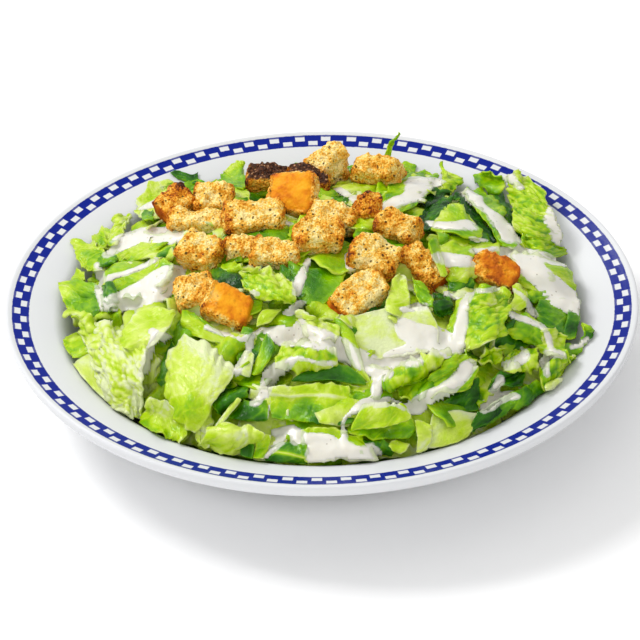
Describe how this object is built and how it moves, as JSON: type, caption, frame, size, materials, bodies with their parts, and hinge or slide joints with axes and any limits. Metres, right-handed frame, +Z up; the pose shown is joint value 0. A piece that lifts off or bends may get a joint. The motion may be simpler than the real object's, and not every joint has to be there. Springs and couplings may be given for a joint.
{
  "type": "caesar salad on its plate",
  "caption": "Caesar salad: chopped romaine with creamy dressing and toasted croutons, heaped in a wide white rimmed plate with a blue checker band.",
  "frame": {"origin": "centre of the plate's foot ring, on the table", "axes": "+Z up; -Y towards the side the camera looks from; +X to its right"},
  "size_m": [0.2844, 0.2844, 0.0752],
  "materials": {
    "plate": "gloss",
    "romaine": "satin",
    "dressing": "satin",
    "crouton": "matte"
  },
  "bodies": {
    "root": {"plate": "plate", "salad": "romaine", "crouton_01": "crouton", "crouton_02": "crouton", "crouton_03": "crouton", "crouton_04": "crouton", "crouton_05": "crouton", "crouton_06": "crouton", "crouton_07": "crouton", "crouton_08": "crouton", "crouton_09": "crouton", "crouton_10": "crouton", "crouton_11": "crouton", "crouton_12": "crouton", "crouton_13": "crouton", "crouton_14": "crouton", "crouton_15": "crouton", "crouton_16": "crouton", "crouton_17": "crouton", "crouton_18": "crouton", "crouton_19": "crouton", "crouton_20": "crouton", "crouton_21": "crouton", "crouton_22": "crouton"}
  },
  "joints": []
}
